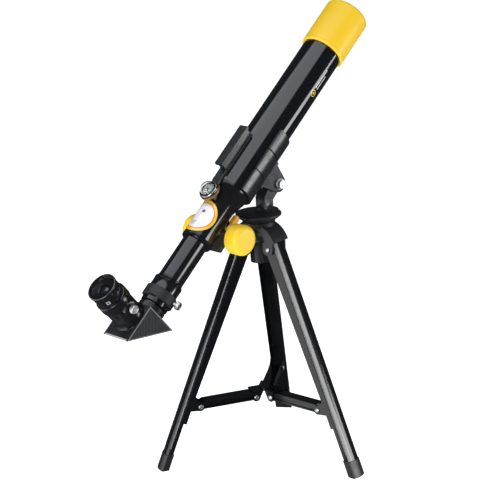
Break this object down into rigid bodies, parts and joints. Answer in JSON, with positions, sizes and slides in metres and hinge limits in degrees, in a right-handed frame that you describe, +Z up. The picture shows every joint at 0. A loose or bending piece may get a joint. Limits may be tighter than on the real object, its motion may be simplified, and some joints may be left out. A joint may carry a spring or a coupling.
{
  "type": "telescope on tripod",
  "caption": "Small refractor telescope with a yellow lens hood and focus knobs, a prism diagonal and eyepiece, a dome compass, and a folding tabletop tripod with a turning, tilting head",
  "frame": {"origin": "on the tripod's axis, on the surface that the feet stand on", "axes": "+Z is up along the tripod's axis, +Y is the way the tube points at rest, +X is to the right as seen from the eyepiece end"},
  "size_m": [0.2014, 0.3852, 0.4696],
  "materials": {
    "gloss_black_tube": "gloss black lacquer",
    "black_leg_steel": "semi-gloss black lacquer",
    "black_casting": "satin black",
    "gloss_black_plastic": "gloss black",
    "flat_black_inside": "flat black",
    "yellow_plastic": "satin yellow",
    "orange_plastic": "satin orange-yellow",
    "black_rubber": "matte black rubber",
    "bright_steel": "bright plated",
    "chrome_trim": "polished",
    "amber_plastic": "amber",
    "card_white": "white",
    "optical_glass": "coated glass",
    "clear_dome": "clear"
  },
  "bodies": {
    "crown": {"crown": "black_casting", "leg_hinge_screws": "bright_steel"},
    "leg_a": {"leg_a": "black_leg_steel", "leg_liner_a": "black_leg_steel", "foot_a": "black_rubber", "brace_screws_a": "bright_steel"},
    "leg_b": {"leg_b": "black_leg_steel", "leg_liner_b": "black_leg_steel", "foot_b": "black_rubber", "brace_screws_b": "bright_steel"},
    "leg_c": {"leg_c": "black_leg_steel", "leg_liner_c": "black_leg_steel", "foot_c": "black_rubber", "brace_screws_c": "bright_steel"},
    "brace_hub": {"brace_hub": "black_leg_steel", "hub_screws": "bright_steel"},
    "brace_arm_a": {"brace_arm_a": "black_leg_steel"},
    "brace_arm_b": {"brace_arm_b": "black_leg_steel"},
    "brace_arm_c": {"brace_arm_c": "black_leg_steel"},
    "head": {"pan_bolt": "bright_steel", "head_casting": "black_casting", "tilt_bolt": "bright_steel"},
    "tilt_knob": {"tilt_knob": "black_casting"},
    "tube": {"cradle": "black_casting", "cradle_screws": "bright_steel", "main_tube": "gloss_black_tube", "lens_hood": "yellow_plastic", "lens_cell": "flat_black_inside", "objective_lens": "optical_glass", "lens_retainer": "flat_black_inside", "tube_baffle": "flat_black_inside", "finder_rail": "black_casting", "compass_holder": "black_casting", "compass_bowl": "amber_plastic", "compass_bezel": "chrome_trim", "compass_dome": "clear_dome", "focuser_body": "gloss_black_plastic", "pinion_block": "black_casting"},
    "compass_card": {"compass_card": "card_white"},
    "focus_drive": {"pinion_shaft": "bright_steel", "focus_knob_right": "yellow_plastic", "focus_knob_left": "yellow_plastic"},
    "focus_lock": {"focus_lock": "orange_plastic"},
    "drawtube": {"drawtube": "gloss_black_plastic", "focus_rack": "gloss_black_plastic", "draw_socket": "gloss_black_plastic", "draw_socket_ring": "black_casting"},
    "draw_thumbscrew": {"draw_thumbscrew": "bright_steel"},
    "diagonal": {"diagonal_house": "black_casting", "diagonal_plates": "black_casting", "diagonal_nose": "gloss_black_plastic", "diagonal_prism": "optical_glass", "eyepiece_socket": "gloss_black_plastic"},
    "eye_thumbscrew": {"eye_thumbscrew": "bright_steel"},
    "eyepiece": {"eyepiece_body": "gloss_black_plastic", "eyepiece_barrel": "chrome_trim", "eyepiece_lenses": "optical_glass"}
  },
  "joints": [
    {"name": "fold_a", "type": "hinge", "parent": "crown", "child": "leg_a", "pos_m": [0.01943, 0.0017, 0.2305], "axis": [-0.0872, 0.9962, 0], "range_deg": [0, 20]},
    {"name": "fold_b", "type": "hinge", "parent": "crown", "child": "leg_b", "pos_m": [-0.01119, 0.01597, 0.2305], "axis": [-0.8192, -0.5736, 0], "range_deg": [0, 20.5]},
    {"name": "fold_c", "type": "hinge", "parent": "crown", "child": "leg_c", "pos_m": [-0.00824, -0.01767, 0.2305], "axis": [0.9063, -0.4226, 0], "range_deg": [0, 20.5]},
    {"name": "hub_slide", "type": "slide", "parent": "crown", "child": "brace_hub", "axis": [0, 0, 1], "range_m": [0, 0.054]},
    {"name": "arm_a", "type": "hinge", "parent": "brace_hub", "child": "brace_arm_a", "pos_m": [0.01295, 0.00113, 0.0645], "axis": [-0.0872, 0.9962, 0], "range_deg": [0, 89]},
    {"name": "arm_b", "type": "hinge", "parent": "brace_hub", "child": "brace_arm_b", "pos_m": [-0.00746, 0.01065, 0.0645], "axis": [-0.8192, -0.5736, 0], "range_deg": [0, 89]},
    {"name": "arm_c", "type": "hinge", "parent": "brace_hub", "child": "brace_arm_c", "pos_m": [-0.00549, -0.01178, 0.0645], "axis": [0.9063, -0.4226, 0], "range_deg": [0, 89]},
    {"name": "pan", "type": "hinge", "parent": "crown", "child": "head", "pos_m": [0, 0, 0.258], "axis": [0, 0, 1], "continuous": true},
    {"name": "tilt", "type": "hinge", "parent": "head", "child": "tube", "pos_m": [0, 0.0215, 0.2933], "axis": [1, 0, 0], "range_deg": [-45, 12]},
    {"name": "tilt_clamp", "type": "hinge", "parent": "head", "child": "tilt_knob", "pos_m": [-0.017, 0.0215, 0.2933], "axis": [-1, 0, 0], "range_deg": [-360, 360]},
    {"name": "focus_slide", "type": "slide", "parent": "tube", "child": "drawtube", "axis": [0, -0.766, -0.6428], "range_m": [-0.03, 0.02]},
    {"name": "focus_turn", "type": "hinge", "parent": "tube", "child": "focus_drive", "pos_m": [0, -0.05814, 0.2552], "axis": [1, 0, 0], "range_deg": [-290, 195]},
    {"name": "focus_clamp", "type": "hinge", "parent": "tube", "child": "focus_lock", "pos_m": [0.008, -0.05393, 0.26185], "axis": [1, 0, 0], "range_deg": [-25, 0]},
    {"name": "compass_turn", "type": "hinge", "parent": "tube", "child": "compass_card", "pos_m": [0, -0.0697, 0.30554], "axis": [0, -0.6428, 0.766], "continuous": true},
    {"name": "draw_clamp", "type": "hinge", "parent": "drawtube", "child": "draw_thumbscrew", "pos_m": [0.01631, -0.13696, 0.20523], "axis": [0.9063, 0.2717, -0.3237], "range_deg": [-360, 360]},
    {"name": "diagonal_turn", "type": "hinge", "parent": "drawtube", "child": "diagonal", "pos_m": [0, -0.15181, 0.2027], "axis": [0, 0.766, 0.6428], "continuous": true},
    {"name": "eye_clamp", "type": "hinge", "parent": "diagonal", "child": "eye_thumbscrew", "pos_m": [0.018, -0.19456, 0.21709], "axis": [1, 0, 0], "range_deg": [-360, 360]},
    {"name": "eyepiece_pull", "type": "slide", "parent": "diagonal", "child": "eyepiece", "axis": [0, -0.6428, 0.766], "range_m": [0, 0.03]}
  ],
  "couplings": [
    {"joint": "fold_b", "follows": "fold_a", "ratio": 1},
    {"joint": "fold_c", "follows": "fold_a", "ratio": 1},
    {"joint": "hub_slide", "follows": "fold_a", "m_per_rad": 0.15269},
    {"joint": "arm_a", "follows": "fold_a", "ratio": 4.393},
    {"joint": "arm_b", "follows": "fold_a", "ratio": 4.393},
    {"joint": "arm_c", "follows": "fold_a", "ratio": 4.393},
    {"joint": "focus_turn", "follows": "focus_slide", "rad_per_m": 166.67}
  ]
}
